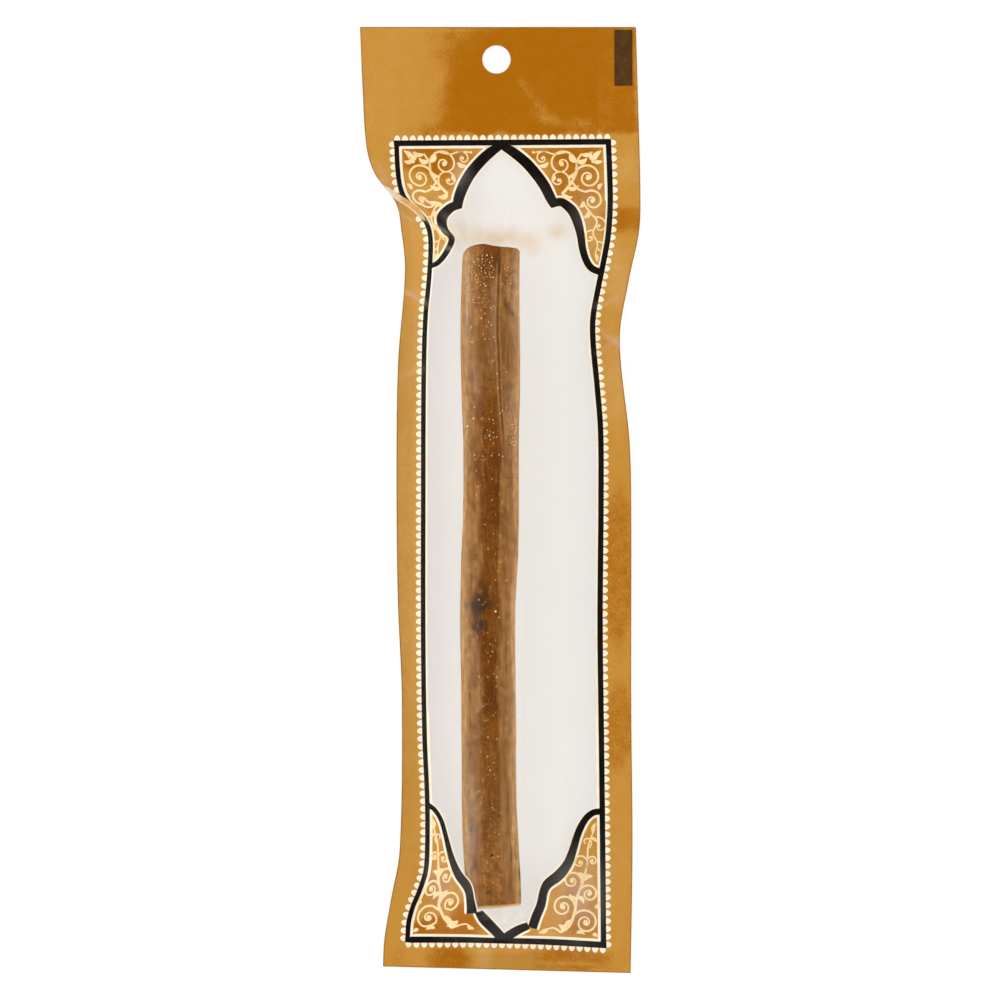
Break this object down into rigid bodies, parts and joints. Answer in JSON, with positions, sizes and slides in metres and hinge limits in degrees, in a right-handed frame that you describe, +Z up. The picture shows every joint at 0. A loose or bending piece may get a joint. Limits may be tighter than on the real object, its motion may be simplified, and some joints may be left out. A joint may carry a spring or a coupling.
{
  "type": "miswak stick in a sealed pouch",
  "caption": "Brown miswak stick with square-cut ends, heat-sealed in a flat printed film pouch with a clear window and a hang hole.",
  "frame": {"origin": "on the surface the pouch lies on, under the middle of the pouch's outline", "axes": "+Z up, away from the surface; +Y along the pouch to the header with the hang hole; +X across it, to the right seen from above with the header up"},
  "size_m": [0.0631, 0.2144, 0.0146],
  "materials": {
    "stick": "rough bark, moist and slightly glossy",
    "front_film": "clear film, gloss, with a gold printed border",
    "back_film": "printed film, gloss"
  },
  "bodies": {
    "root": {"stick": "stick", "front_film": "front_film", "back_film": "back_film"}
  },
  "joints": []
}
